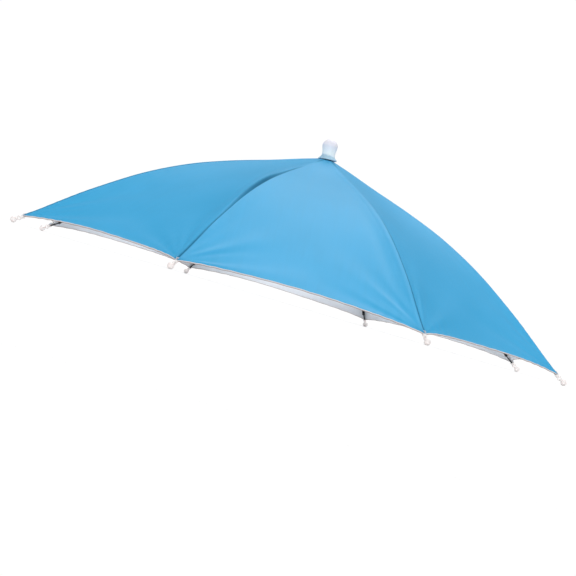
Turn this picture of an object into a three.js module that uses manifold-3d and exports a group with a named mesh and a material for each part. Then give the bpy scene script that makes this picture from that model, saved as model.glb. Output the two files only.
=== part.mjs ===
// Umbrella hat: a stretched eight-gore canopy on a light steel frame, with an elastic
// headband hung from the frame. Millimetres, +Z up, the front of the hat towards -Y.
// The origin is on the axis, at the height of the surface the rib tips stand on.
import * as THREE from 'three';
import { mergeVertices } from 'three/addons/utils/BufferGeometryUtils.js';
import Module from 'manifold-3d';

const wasm = await Module();
wasm.setup();

// Rim and canopy
const goreCount = 8;
const rimRadius = 435; // axis to the centre of a tip's ball
const cornerReach = 15; // the cloth's corners stop this far short of the ball centres
const cornerRise = 11; // cloth corners above the ball centres
const canopyRise = 213; // apex of the canopy above the cloth corners
const clothWall = 1;
const seamGap = 0.3; // between neighbouring gores
const seatGap = 0.3; // between pieces that rest on each other
const goreSag = 7; // a gore hangs in between two ribs, at two thirds of its length
const hemSag = 4; // the same at the hem
const hemPull = 15; // the middle of the hem is drawn up the gore

// The seam line that every rib carries: shares of the corner radius and of the canopy's rise
const seamSections = [
  { out: 0.0, fall: 0.0 },
  { out: 0.1, fall: 0.063 },
  { out: 0.2, fall: 0.132 },
  { out: 0.35, fall: 0.23 },
  { out: 0.5, fall: 0.346 },
  { out: 0.65, fall: 0.499 },
  { out: 0.8, fall: 0.694 },
  { out: 0.9, fall: 0.842 },
  { out: 1.0, fall: 1.0 },
];

// Ribs: channels open below, crimped flat at the rim, with a wire end for the tip
const ribWidth = 4.2;
const ribDepth = 3;
const ribWall = 0.7;
const ribHeadRadius = 9.5; // axis to the rib's inner end
const crimpLength = 6;
const ribWireRadius = 1;
const ribEndInset = 12; // the channel ends this far before the cloth corner

// Rib tips: ball, eyelet and socket
const ballRadius = 4.5;
const footFlat = 0.35; // depth of the flat on the underside of each ball
const neckRadius = 1.6;
const eyeletRadius = 3.5;
const eyeletHole = 1.5;
const eyeletThickness = 2.6;
const eyeletReach = 8.6; // ball centre to eyelet centre
const socketRadius = 2.3;
const socketReach = 16; // ball centre to the socket's mouth
const socketDepth = 3.2;
const eyeletWall = 0.8; // between the eyelet's hole and what it is moulded to

// Hub and cap
const hubRadius = 14;
const hubFloor = 3; // solid material under the rib heads
const postRadius = 5;
const postRise = 12; // above the canopy's hole
const flangeRadius = 14.2;
const capHeight = 31.8;
const capLean = 5; // degrees, towards the front
const capPlay = 1.4; // round the post, so that the cap can lean
const capBoreDepth = 18;

// The cap's outline: shares of the flange radius and of the cap's height
const capSections = [
  { wide: 1.0, high: 0.0 },
  { wide: 1.0, high: 0.04 },
  { wide: 0.76, high: 0.155 },
  { wide: 0.7, high: 0.19 },
  { wide: 0.71, high: 0.3 },
  { wide: 0.78, high: 0.52 },
  { wide: 0.84, high: 0.66 },
];
const capShoulder = capSections.at(-1); // the dome starts here

// Headband, an oval inside measure
const headLength = 204;
const headWidth = 160;
const bandWall = 2.5;
const bandHeight = 34;
const bandRise = 48; // the band's lower edge above the ball centres

// Stretchers: flat struts from the ribs to the headband
const stretcherReach = 196; // axis to the rib joint
const stretcherWidth = 2.2;
const stretcherDepth = 1.9;
const footWidth = 10;
const footHeight = 24;
const footWall = 1.4;

// Mesh fineness
const goreRows = 13;
const goreColumns = 10;
const ribSteps = 15;
const bandSides = 28;
const roundSides = 16;
const tipSides = 10;
const rodSides = 8;
const domeSteps = 6;

// Worked out from the sizes above
const goreAngle = (2 * Math.PI) / goreCount;
const halfGore = goreAngle / 2;
const ballHeight = ballRadius - footFlat;
const cornerRadius = rimRadius - cornerReach;
const apexHeight = ballHeight + cornerRise + canopyRise;
const frameAngles = Array.from({ length: goreCount }, (_, i) => (i + 0.5) * goreAngle);

const finish = (name, color, roughness, metalness) =>
  new THREE.MeshStandardMaterial({ name, color, roughness, metalness });
const cloth = finish('cloth', 0x4aa9dd, 0.55, 0);
const steel = finish('steel', 0x23282c, 0.35, 0.8);
const whitePlastic = finish('white plastic', 0xeef0f6, 0.4, 0);
const elastic = finish('elastic', 0x1c1e22, 0.9, 0);

// Solids: three.js geometry to a joined, closed body and back
function toSolid(geometry) {
  const bare = geometry.clone();
  bare.deleteAttribute('normal');
  bare.deleteAttribute('uv');
  const merged = mergeVertices(bare, 1e-4);
  const mesh = new wasm.Mesh({
    numProp: 3,
    vertProperties: new Float32Array(merged.attributes.position.array),
    triVerts: new Uint32Array(merged.index.array),
  });
  return new wasm.Manifold(mesh);
}

function toGeometry(solid) {
  const mesh = solid.getMesh();
  const geometry = new THREE.BufferGeometry();
  geometry.setAttribute('position', new THREE.BufferAttribute(mesh.vertProperties, 3));
  geometry.setIndex(new THREE.BufferAttribute(mesh.triVerts, 1));
  return geometry;
}

const join = (...geometries) =>
  toGeometry(geometries.map(toSolid).reduce((whole, piece) => whole.add(piece)));

const cut = (geometry, ...cutters) =>
  toGeometry(cutters.map(toSolid).reduce((whole, cutter) => whole.subtract(cutter), toSolid(geometry)));

// The seam line in the plane of a rib: x is the distance from the axis, y the height
const seamLine = new THREE.SplineCurve(
  seamSections.map(({ out, fall }) => new THREE.Vector2(out * cornerRadius, apexHeight - fall * canopyRise)),
);
seamLine.arcLengthDivisions = 600;
const seamLength = seamLine.getLength();

// The share of the seam's length at which it is this far from the axis
function seamShareAt(radius) {
  let low = 0;
  let high = 1;
  for (let i = 0; i < 40; i += 1) {
    const middle = (low + high) / 2;
    if (seamLine.getPointAt(middle).x < radius) low = middle;
    else high = middle;
  }
  return (low + high) / 2;
}

const seamHeightAt = (radius) => seamLine.getPointAt(seamShareAt(radius)).y;

// A point in a rib's plane, this deep under the seam line
function underSeam(share, depth) {
  const point = seamLine.getPointAt(share);
  const along = seamLine.getTangentAt(share);
  return new THREE.Vector3(point.x + along.y * depth, 0, point.y - along.x * depth);
}

// How far a gore hangs in at a share of its length, midway between its ribs
const sagAt = (share) => (goreSag * 27 * share ** 2 * (1 - share)) / 4 + hemSag * share ** 3;

// How far the cloth falls away from its seam within half a rib's width
function fallOverRib() {
  const shares = Array.from({ length: ribSteps }, (_, i) => (i + 1) / ribSteps);
  const falls = shares.map((share) => {
    const slope = -seamLine.getTangentAt(share).y * Math.tan(halfGore);
    const halfWidth = seamLine.getPointAt(share).x * Math.sin(halfGore);
    return (ribWidth / 2) * (slope + (2 * sagAt(share)) / halfWidth);
  });
  return Math.max(...falls);
}

// How far a gore's flat facets cut inside the curve of its seam
function facetCut() {
  const rowLength = seamLength / goreRows;
  const cuts = Array.from({ length: goreRows }, (_, row) => {
    const start = seamLine.getTangentAt(row / goreRows);
    const end = seamLine.getTangentAt((row + 1) / goreRows);
    return (rowLength * Math.acos(Math.min(1, start.dot(end)))) / 8;
  });
  return Math.max(...cuts);
}

const ribSeat = clothWall + seatGap + fallOverRib() + facetCut(); // rib's back under the seam
const ribMiddle = ribSeat + ribDepth / 2;
const postHoleRadius = (postRadius + seatGap) / Math.cos(halfGore);
const cornerShare = 1;
const holeShare = seamShareAt(postHoleRadius);
const ribHeadShare = seamShareAt(ribHeadRadius);
const ribEndShare = cornerShare - ribEndInset / seamLength;

// Canopy: one gore, its middle towards +X
function goreSurface(share, across, depth) {
  const bow = 1 - across ** 2;
  const pulled = share - (hemPull * share ** 4 * bow) / seamLength;
  const point = seamLine.getPointAt(pulled);
  const along = seamLine.getTangentAt(pulled);
  const slope = new THREE.Vector2(along.x * Math.cos(halfGore), along.y).normalize();
  const inward = depth + sagAt(share) * bow;
  const x = point.x * Math.cos(halfGore) + slope.y * inward;
  const z = point.y - slope.x * inward;
  const seamX = seamLine.getPointAt(share).x * Math.cos(halfGore) + slope.y * depth;
  const halfWidth = seamX * Math.tan(halfGore) - seamGap / 2 / Math.cos(halfGore);
  return new THREE.Vector3(x, across * halfWidth, z);
}

function goreGeometry() {
  const positions = [];
  const indices = [];
  const rowLength = goreColumns + 1;
  const layer = (goreRows + 1) * rowLength;
  for (const depth of [0, clothWall]) {
    for (let row = 0; row <= goreRows; row += 1) {
      const share = holeShare + ((cornerShare - holeShare) * row) / goreRows;
      for (let column = 0; column <= goreColumns; column += 1) {
        const across = (2 * column) / goreColumns - 1;
        positions.push(...goreSurface(share, across, depth));
      }
    }
  }
  const at = (row, column, side) => side * layer + row * rowLength + column;
  const quad = (a, b, c, d) => indices.push(a, b, c, a, c, d);
  for (let row = 0; row < goreRows; row += 1) {
    for (let column = 0; column < goreColumns; column += 1) {
      quad(at(row, column, 0), at(row + 1, column, 0), at(row + 1, column + 1, 0), at(row, column + 1, 0));
      quad(at(row, column, 1), at(row, column + 1, 1), at(row + 1, column + 1, 1), at(row + 1, column, 1));
    }
  }
  for (let row = 0; row < goreRows; row += 1) {
    quad(at(row, 0, 0), at(row, 0, 1), at(row + 1, 0, 1), at(row + 1, 0, 0));
    const last = goreColumns;
    quad(at(row, last, 0), at(row + 1, last, 0), at(row + 1, last, 1), at(row, last, 1));
  }
  for (let column = 0; column < goreColumns; column += 1) {
    quad(at(0, column, 0), at(0, column + 1, 0), at(0, column + 1, 1), at(0, column, 1));
    const last = goreRows;
    quad(at(last, column, 0), at(last, column, 1), at(last, column + 1, 1), at(last, column + 1, 0));
  }
  const geometry = new THREE.BufferGeometry();
  geometry.setAttribute('position', new THREE.Float32BufferAttribute(positions, 3));
  geometry.setIndex(indices);
  return geometry;
}

// A stretch of the seam line, sunk under the cloth, for a section to follow
class SunkSeam extends THREE.Curve {
  constructor(from, to, depth) {
    super();
    Object.assign(this, { from, to, depth });
  }

  getPoint(t) {
    return underSeam(this.from + (this.to - this.from) * t, this.depth);
  }
}

// Sweeps a section along the seam line: its x runs across the rib and its y downwards
const alongSeam = (section, from, to, steps) =>
  new THREE.ExtrudeGeometry(section, {
    steps,
    bevelEnabled: false,
    extrudePath: new SunkSeam(from, to, ribSeat),
  });

function rectangle(width, top, bottom) {
  const half = width / 2;
  return new THREE.Shape([
    new THREE.Vector2(-half, top),
    new THREE.Vector2(half, top),
    new THREE.Vector2(half, bottom),
    new THREE.Vector2(-half, bottom),
  ]);
}

function channelSection() {
  const outer = ribWidth / 2;
  const inner = outer - ribWall;
  return new THREE.Shape([
    new THREE.Vector2(-outer, 0),
    new THREE.Vector2(outer, 0),
    new THREE.Vector2(outer, ribDepth),
    new THREE.Vector2(inner, ribDepth),
    new THREE.Vector2(inner, ribWall),
    new THREE.Vector2(-inner, ribWall),
    new THREE.Vector2(-inner, ribDepth),
    new THREE.Vector2(-outer, ribDepth),
  ]);
}

// The tip's axis runs from the ball's centre to the middle of the channel's end
const ballCentre = new THREE.Vector3(rimRadius, 0, ballHeight);
const ribEnd = underSeam(ribEndShare, ribMiddle);
const tipLine = ribEnd.clone().sub(ballCentre);
const tipAxis = tipLine.clone().normalize();
const tipSide = new THREE.Vector3(0, 1, 0); // across the rib
const tipFrame = new THREE.Matrix4()
  .makeBasis(tipSide, tipAxis, tipSide.clone().cross(tipAxis))
  .setPosition(ballCentre);

// Puts a piece that is built up along +Y from the ball's centre onto the tip's axis
const ontoTip = (geometry) => geometry.applyMatrix4(tipFrame);

const wireEndReach = socketReach - socketDepth + seatGap; // ball centre to the wire's end

function ribGeometry() {
  const crimpShare = ribEndShare - crimpLength / seamLength;
  const channel = alongSeam(channelSection(), ribHeadShare, ribEndShare, ribSteps);
  const crimp = alongSeam(rectangle(ribWidth, 0, ribDepth), crimpShare, ribEndShare, 1);
  const wireStart = tipLine.length() + crimpLength / 2;
  const wireLength = wireStart - wireEndReach;
  const wire = new THREE.CylinderGeometry(ribWireRadius, ribWireRadius, wireLength, rodSides);
  wire.translate(0, wireEndReach + wireLength / 2, 0);
  return join(channel, crimp, ontoTip(wire));
}

// A lathe profile closed on the axis, from points of radius and height
const turned = (points, sides) =>
  new THREE.LatheGeometry(
    points.map(([radius, height]) => new THREE.Vector2(radius, height)),
    sides,
  );

// A pure turned body with its own axis as +Z
const upright = (geometry) => geometry.rotateX(Math.PI / 2);

function tipGeometry() {
  const neckLength = eyeletReach - eyeletHole - eyeletWall;
  const neck = new THREE.CylinderGeometry(neckRadius, neckRadius, neckLength, rodSides);
  neck.translate(0, neckLength / 2, 0);
  const eyelet = new THREE.CylinderGeometry(eyeletRadius, eyeletRadius, eyeletThickness, tipSides);
  const hole = new THREE.CylinderGeometry(eyeletHole, eyeletHole, 2 * eyeletThickness, rodSides);
  for (const round of [eyelet, hole]) round.rotateZ(Math.PI / 2).translate(0, eyeletReach, 0);
  const socketStart = eyeletReach + eyeletHole + eyeletWall;
  const bore = ribWireRadius + seatGap;
  const socket = turned(
    [
      [0, socketStart],
      [socketRadius, socketStart],
      [socketRadius, socketReach],
      [bore, socketReach],
      [bore, socketReach - socketDepth],
      [0, socketReach - socketDepth],
    ],
    rodSides,
  );
  const arm = ontoTip(cut(join(neck, eyelet, socket), hole));
  const ball = upright(new THREE.SphereGeometry(ballRadius, tipSides, tipSides / 2));
  ball.translate(ballCentre.x, ballCentre.y, ballCentre.z);
  const under = new THREE.BoxGeometry(4 * ballRadius, 4 * ballRadius, 2 * ballRadius);
  under.translate(rimRadius, 0, -ballRadius);
  return cut(join(ball, arm), under);
}

// Hub: a slotted boss under the canopy's apex, with a post up into the cap
const underCanopy = (radius) =>
  seamHeightAt(radius / Math.cos(halfGore)) -
  (clothWall + seatGap) / seamLine.getTangentAt(seamShareAt(radius)).x;
const hubBottom = underSeam(seamShareAt(hubRadius), ribSeat + ribDepth).z - hubFloor;

function hubGeometry() {
  const postTop = apexHeight + postRise;
  const boss = upright(
    turned(
      [
        [0, hubBottom],
        [hubRadius, hubBottom],
        [hubRadius, underCanopy(hubRadius)],
        [postRadius, underCanopy(postRadius)],
        [postRadius, postTop],
        [0, postTop],
      ],
      roundSides,
    ),
  );
  const from = seamShareAt(ribHeadRadius - 2 * seatGap);
  const to = seamShareAt(hubRadius + ribDepth);
  const slot = rectangle(ribWidth + 2 * seatGap, -ribDepth, ribDepth + seatGap);
  const slots = frameAngles.map((angle) => alongSeam(slot, from, to, 1).rotateZ(angle));
  return cut(boss, ...slots);
}

// Cap: a domed plug on a flange that sits on the canopy
function capGeometry() {
  const canopyUnderRim = seamLine.getTangentAt(seamShareAt(flangeRadius));
  const boreRadius = postRadius + capPlay;
  const boreMouth = ((boreRadius - flangeRadius) * canopyUnderRim.y) / canopyUnderRim.x;
  const outline = capSections.map(({ wide, high }) => [wide * flangeRadius, high * capHeight]);
  const shoulderRadius = capShoulder.wide * flangeRadius;
  const shoulderHeight = capShoulder.high * capHeight;
  const dome = Array.from({ length: domeSteps }, (_, i) => {
    const turn = ((i + 1) / domeSteps) * (Math.PI / 2);
    const radius = i + 1 === domeSteps ? 0 : shoulderRadius * Math.cos(turn);
    return [radius, shoulderHeight + (capHeight - shoulderHeight) * Math.sin(turn)];
  });
  const inside = [
    [0, capBoreDepth],
    [boreRadius, capBoreDepth],
    [boreRadius, boreMouth],
  ];
  return upright(turned([...inside, ...outline, ...dome], roundSides));
}

const lean = THREE.MathUtils.degToRad(capLean);
const capSeat = seamHeightAt(flangeRadius) + seatGap + flangeRadius * Math.sin(lean);

// Headband: an oval loop of elastic
const bandBottom = ballHeight + bandRise;
const bandOuter = new THREE.Vector2(headWidth / 2 + bandWall, headLength / 2 + bandWall);

function bandGeometry() {
  const outline = new THREE.Shape();
  outline.absellipse(0, 0, bandOuter.x, bandOuter.y, 0, 2 * Math.PI);
  const opening = new THREE.Path();
  opening.absellipse(0, 0, headWidth / 2, headLength / 2, 0, 2 * Math.PI, true);
  outline.holes.push(opening);
  const options = { depth: bandHeight, bevelEnabled: false, curveSegments: bandSides };
  return new THREE.ExtrudeGeometry(outline, options).translate(0, 0, bandBottom);
}

// Where a ray from the axis meets the band's outside, and the way the band faces there
function bandMeets(angle) {
  const ray = new THREE.Vector2(Math.cos(angle), Math.sin(angle));
  const reach = 1 / Math.hypot(ray.x / bandOuter.x, ray.y / bandOuter.y);
  const facing = new THREE.Vector2(ray.x / bandOuter.x ** 2, ray.y / bandOuter.y ** 2);
  return { reach, facing: facing.angle() };
}

// Stretcher: a strut in its rib's plane, from an eye in the channel to a foot on the band
function stretcherGeometry(angle) {
  const { reach, facing } = bandMeets(angle);
  const turn = facing - angle;
  const eyeRadius = stretcherDepth / 2;
  const eyeDepth = ribSeat + ribWall + seatGap + eyeRadius;
  const top = underSeam(seamShareAt(stretcherReach), eyeDepth);
  const footMiddle = seatGap + footWall / 2;
  const foot = new THREE.BoxGeometry(footWall, footWidth, footHeight);
  foot.rotateZ(turn);
  const bottom = new THREE.Vector3(reach, 0, bandBottom + bandHeight / 2);
  bottom.add(new THREE.Vector3(Math.cos(turn), Math.sin(turn), 0).multiplyScalar(footMiddle));
  foot.translate(bottom.x, bottom.y, bottom.z);
  const strutFoot = new THREE.Vector3(bottom.x, 0, bottom.z);
  const line = top.clone().sub(strutFoot);
  const strut = new THREE.BoxGeometry(line.length(), stretcherWidth, stretcherDepth);
  strut.translate(line.length() / 2, 0, 0);
  strut.rotateY(-Math.atan2(line.z, line.x));
  strut.translate(strutFoot.x, 0, strutFoot.z);
  const eye = new THREE.CylinderGeometry(eyeRadius, eyeRadius, stretcherWidth, rodSides);
  eye.translate(top.x, top.y, top.z);
  return join(strut, eye, foot);
}

// Assembly
const hat = new THREE.Group();
hat.name = 'umbrella_hat';

function place(name, geometry, material, angle = 0) {
  const mesh = new THREE.Mesh(geometry, material);
  mesh.name = name;
  mesh.rotation.z = angle;
  hat.add(mesh);
  return mesh;
}

const gore = goreGeometry();
const rib = ribGeometry();
const tip = tipGeometry();
frameAngles.forEach((angle, i) => {
  place(`gore_${i + 1}`, gore, cloth, angle + halfGore);
  place(`rib_${i + 1}`, rib, steel, angle);
  place(`rib_tip_${i + 1}`, tip, whitePlastic, angle);
  place(`stretcher_${i + 1}`, stretcherGeometry(angle), steel, angle);
});
place('hub', hubGeometry(), whitePlastic);
place('headband', bandGeometry(), elastic);
const cap = place('cap', capGeometry(), whitePlastic);
cap.position.z = capSeat;
cap.rotation.x = lean;

export default hat;
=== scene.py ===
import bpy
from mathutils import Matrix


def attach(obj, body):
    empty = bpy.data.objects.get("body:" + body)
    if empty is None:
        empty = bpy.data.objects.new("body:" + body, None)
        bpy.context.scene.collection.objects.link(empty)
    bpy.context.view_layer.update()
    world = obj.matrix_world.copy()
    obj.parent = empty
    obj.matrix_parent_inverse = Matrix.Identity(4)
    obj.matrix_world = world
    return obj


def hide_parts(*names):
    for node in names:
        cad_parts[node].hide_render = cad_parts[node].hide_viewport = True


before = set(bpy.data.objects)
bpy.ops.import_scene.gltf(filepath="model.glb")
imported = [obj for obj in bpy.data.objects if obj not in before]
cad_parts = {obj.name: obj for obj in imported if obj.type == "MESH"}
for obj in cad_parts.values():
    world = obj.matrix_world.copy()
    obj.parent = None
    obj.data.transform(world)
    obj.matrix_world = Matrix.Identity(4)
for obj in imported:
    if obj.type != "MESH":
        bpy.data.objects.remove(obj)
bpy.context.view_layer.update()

import math
from contextlib import contextmanager

import bmesh
import bpy
import numpy as np
from mathutils import Matrix, Vector

# Umbrella hat, in metres: +Z up, the front of the hat towards -Y. The origin is on the axis,
# at the height of the surface that the rib tips stand on. The sizes are the part's own.

# Rim and canopy
GORES = 8
RIM_RADIUS = 0.435
CORNER_RADIUS = 0.420
CORNER_RISE = 0.011
CANOPY_RISE = 0.213
GORE_SAG = 0.007
HEM_SAG = 0.004
HEM_PULL = 0.015
SEAT_GAP = 0.0003
SEAM_SECTIONS = [
    (0.0, 0.0), (0.1, 0.063), (0.2, 0.132), (0.35, 0.23), (0.5, 0.346),
    (0.65, 0.499), (0.8, 0.694), (0.9, 0.842), (1.0, 1.0),
]
CLOTH_WALL = 0.0006  # as it is sewn
SOLID_CLOTH_WALL = 0.001  # as the solid is drawn
FOLD_WALL = 0.0004  # another layer, in a seam's allowance or the hem
ALLOWANCE = 0.0065
HEM_WIDTH = 0.0048
HEM_STITCHES = 0.0041  # their line's height above the hem
SEAM_STITCHES = 0.0050  # their line's distance from the seam
STITCH_WIDTH = 0.00045
STITCH_HEIGHT = 0.00036
TAPE_HALF_WALL = 0.00075
TAPE_HALF_WIDTH = 0.00085
HEM_THREAD_RADIUS = 0.00036
TIP_THREAD_RADIUS = 0.00022
GORE_PITCH = 0.34  # how far apart the gores lie on the cut cloth
CORNER_DRAW = 0.0065  # how far a tip draws the cloth's corner out
CORNER_LIFT = 0.0018  # and over its socket
CORNER_FADE = 0.011

# Ribs and tips
RIB_WIDTH = 0.0042
RIB_DEPTH = 0.003
RIB_WALL = 0.0007
RIB_SEAT = 0.00235  # rib's back under the seam line
RIB_HEAD_RADIUS = 0.0095
RIB_END_INSET = 0.012
CRIMP_LENGTH = 0.006
WIRE_RADIUS = 0.001
BALL_RADIUS = 0.0045
BALL_HEIGHT = 0.00415
NECK_RADIUS = 0.0016
EYELET_RADIUS = 0.0035
EYELET_HOLE = 0.0015
EYELET_THICKNESS = 0.0026
EYELET_REACH = 0.0086
SOCKET_RADIUS = 0.0023
SOCKET_REACH = 0.016
SOCKET_DEPTH = 0.0032
WIRE_END_REACH = 0.0131

# Hub and cap
HUB_RADIUS = 0.014
HUB_FLOOR = 0.003
POST_RADIUS = 0.005
POST_RISE = 0.012
FLANGE_RADIUS = 0.0142
CAP_HEIGHT = 0.0318
CAP_LEAN = math.radians(5)
CAP_BORE = 0.0064
CAP_BORE_DEPTH = 0.018
CAP_FLUTES = 11
CAP_SECTIONS = [
    (1.0, 0.0), (1.0, 0.04), (0.76, 0.155), (0.70, 0.19),
    (0.71, 0.30), (0.78, 0.52), (0.84, 0.66),
]

# Headband and stretchers
HEAD_LENGTH = 0.204
HEAD_WIDTH = 0.160
BAND_WALL = 0.0025
BAND_HEIGHT = 0.034
BAND_RISE = 0.048
STRETCHER_REACH = 0.196
STRETCHER_WIDTH = 0.0022
STRETCHER_DEPTH = 0.0019
FOOT_WIDTH = 0.010
FOOT_HEIGHT = 0.024
FOOT_WALL = 0.0014
FOOT_CORNER = 0.003
RIVET_RADIUS = 0.0011
RIVET_HEIGHT = 0.0005
RIVET_RISE = 0.0085  # off the middle of a foot plate

# Worked out from the sizes above
HALF_GORE = math.pi / GORES
APEX_HEIGHT = BALL_HEIGHT + CORNER_RISE + CANOPY_RISE
RIB_ANGLES = [(i + 0.5) * 2 * HALF_GORE for i in range(GORES)]
BALL_CENTRE = np.array([RIM_RADIUS, 0.0, BALL_HEIGHT])
scene = bpy.context.scene
chance = np.random.default_rng(11)


# Shared shapes: lines, grids and meshes

def smooth(x):
    x = np.clip(x, 0.0, 1.0)
    return x * x * (3 - 2 * x)


def unit(v):
    return v / np.linalg.norm(v, axis=-1, keepdims=True)


def around(points, angle):
    """Points turned about the hat's axis."""
    x, y, z = np.moveaxis(np.asarray(points, float), -1, 0)
    c, s = np.cos(angle), np.sin(angle)
    return np.stack([x * c - y * s, x * s + y * c, z + 0 * c], -1)


def lengths_along(line):
    """How far along a line each of its points is."""
    return np.concatenate([[0], np.cumsum(np.linalg.norm(np.diff(line, axis=0), axis=1))])


def looked_up(places, known, table):
    """A table's rows at these places, from its rows at the known ones."""
    return np.stack([np.interp(places, known, column) for column in table.T], -1)


def spaced(line, pitch):
    """Points about this far apart along a line."""
    length = lengths_along(line)
    count = max(2, int(length[-1] / pitch))
    return looked_up((np.arange(count) + 0.5) * length[-1] / count, length, line)


def grid_faces(rows, columns, first=0, turned=False):
    """The quads of a grid of points, its last column joined to its first."""
    row, column = np.meshgrid(np.arange(rows - 1), np.arange(columns), indexing="ij")
    a = row * columns + column
    b = row * columns + (column + 1) % columns
    quads = np.stack([a, b, b + columns, a + columns], -1).reshape(-1, 4) + first
    return quads[:, ::-1] if turned else quads


def mesh_of(name, points, faces, edges=()):
    mesh = bpy.data.meshes.new(name)
    mesh.from_pydata(
        np.asarray(points, float).reshape(-1, 3).tolist(),
        np.asarray(edges).tolist(),
        [list(map(int, face)) for face in faces],
    )
    mesh.update()
    return mesh


def object_of(name, mesh, material=None):
    if material:
        mesh.materials.append(material)
    made = bpy.data.objects.new(name, mesh)
    scene.collection.objects.link(made)
    return made


def lines_mesh(name, lines, closed=False):
    """A mesh of edges alone, one run of edges for each line."""
    points, edges = [], []
    for line in lines:
        first = len(points)
        points += [list(p) for p in line]
        edges += [(first + i, first + i + 1) for i in range(len(line) - 1)]
        if closed:
            edges.append((first + len(line) - 1, first))
    return mesh_of(name, points, [], edges)


def lathe(profile, sides, flute=None):
    """Points and faces of a profile of (radius, height) turned about +Z."""
    angle = np.arange(sides) * 2 * math.pi / sides
    radius, height = np.asarray(profile, float).T
    wide = radius[:, None] * np.ones(sides)
    if flute is not None:
        wide = wide * flute(height[:, None], angle[None, :])
    points = np.stack(
        [wide * np.cos(angle), wide * np.sin(angle), height[:, None] * np.ones(sides)], -1
    )
    return points.reshape(-1, 3), grid_faces(len(profile), sides)


@contextmanager
def reworked(mesh):
    """The mesh as a bmesh, written back at the end."""
    work = bmesh.new()
    work.from_mesh(mesh)
    yield work
    work.to_mesh(mesh)
    work.free()


def shade_smooth(mesh):
    mesh.polygons.foreach_set("use_smooth", [True] * len(mesh.polygons))


def tidy(mesh, sharp=35):
    """Merges doubled points, closes poles, faces outwards and shades smooth up to an angle."""
    with reworked(mesh) as work:
        bmesh.ops.remove_doubles(work, verts=work.verts, dist=1e-6)
        bmesh.ops.dissolve_degenerate(work, edges=work.edges, dist=1e-7)
        bmesh.ops.recalc_face_normals(work, faces=work.faces)
    shade_smooth(mesh)
    mesh.set_sharp_from_angle(angle=math.radians(sharp))


def settle(holder):
    """Puts the object's modifiers into its mesh."""
    graph = bpy.context.evaluated_depsgraph_get()
    made = bpy.data.meshes.new_from_object(holder.evaluated_get(graph))
    holder.modifiers.clear()
    holder.data = made


# Node trees

def add(tree, kind, inputs=None, **settings):
    """A node with these settings, and its inputs set or linked."""
    node = tree.nodes.new(kind)
    for key, value in settings.items():
        setattr(node, key, value)
    for key, value in (inputs or {}).items():
        if isinstance(value, bpy.types.NodeSocket):
            tree.links.new(value, node.inputs[key])
        else:
            node.inputs[key].default_value = value
    return node


def geometry_tree(name, **inputs):
    """A Geometry Nodes tree with a geometry in and out, and these named inputs."""
    tree = bpy.data.node_groups.new(name, "GeometryNodeTree")
    face = tree.interface
    face.new_socket("Geometry", in_out="INPUT", socket_type="NodeSocketGeometry")
    for label, kind in inputs.items():
        face.new_socket(label, in_out="INPUT", socket_type="NodeSocket" + kind)
    face.new_socket("Geometry", in_out="OUTPUT", socket_type="NodeSocketGeometry")
    return tree, tree.nodes.new("NodeGroupInput").outputs


def end_tree(tree, made, material):
    """Realizes what the tree made, gives it its material and ends the tree."""
    real = add(tree, "GeometryNodeRealizeInstances", {"Geometry": made})
    inputs = {"Geometry": real.outputs[0], "Material": material}
    dressed = add(tree, "GeometryNodeSetMaterial", inputs)
    add(tree, "NodeGroupOutput", {"Geometry": dressed.outputs[0]})
    return tree


def curve_of(tree, mesh):
    return add(tree, "GeometryNodeMeshToCurve", {"Mesh": mesh}).outputs[0]


def swept(tree, line, profile):
    """The closed body of a profile swept along a line."""
    inputs = {"Curve": line, "Profile Curve": profile, "Fill Caps": True}
    return add(tree, "GeometryNodeCurveToMesh", inputs).outputs[0]


def swept_tree():
    """Sweeps a section along every line of the seed; the section's Y runs down."""
    tree, given = geometry_tree("swept section", Section="Object", Material="Material")
    line = curve_of(tree, given["Geometry"])
    steady = add(tree, "GeometryNodeSetCurveNormal", {"Curve": line}, mode="Z_UP")
    section = add(tree, "GeometryNodeObjectInfo", {"Object": given["Section"]})
    outline = curve_of(tree, section.outputs["Geometry"])
    return end_tree(tree, swept(tree, steady.outputs[0], outline), given["Material"])


def thread_tree():
    """Lays a round thread of a given radius along every line of the seed."""
    tree, given = geometry_tree("thread", Radius="Float", Sides="Int", Material="Material")
    inputs = {"Resolution": given["Sides"], "Radius": given["Radius"]}
    ring = add(tree, "GeometryNodeCurvePrimitiveCircle", inputs, mode="RADIUS")
    body = swept(tree, curve_of(tree, given["Geometry"]), ring.outputs[0])
    return end_tree(tree, body, given["Material"])


def placed(tree, points, piece, turn):
    """A copy of the piece at every point, turned."""
    inputs = {"Points": points, "Instance": piece, "Rotation": turn}
    return add(tree, "GeometryNodeInstanceOnPoints", inputs).outputs[0]


def ring_tree():
    """Copies the seed round the hat's axis, from a first angle."""
    tree, given = geometry_tree(
        "copies round the axis", Copies="Int", First="Float", Material="Material"
    )
    points = add(tree, "GeometryNodePoints", {"Count": given["Copies"]})
    step = add(tree, "ShaderNodeMath", {0: 2 * math.pi, 1: given["Copies"]}, operation="DIVIDE")
    index = add(tree, "GeometryNodeInputIndex")
    inputs = {0: index.outputs[0], 1: step.outputs[0], 2: given["First"]}
    angle = add(tree, "ShaderNodeMath", inputs, operation="MULTIPLY_ADD")
    turn = add(tree, "ShaderNodeCombineXYZ", {"Z": angle.outputs[0]})
    copies = placed(tree, points.outputs[0], given["Geometry"], turn.outputs[0])
    return end_tree(tree, copies, given["Material"])


def copies_tree():
    """Puts a small piece at every point of the seed, turned by the point's own turn."""
    tree, given = geometry_tree("placed copies", Piece="Object", Material="Material")
    piece = add(tree, "GeometryNodeObjectInfo", {"Object": given["Piece"]})
    turn = add(
        tree, "GeometryNodeInputNamedAttribute", {"Name": "turn"}, data_type="FLOAT_VECTOR"
    )
    outputs = piece.outputs["Geometry"], turn.outputs["Attribute"]
    return end_tree(tree, placed(tree, given["Geometry"], *outputs), given["Material"])


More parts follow.
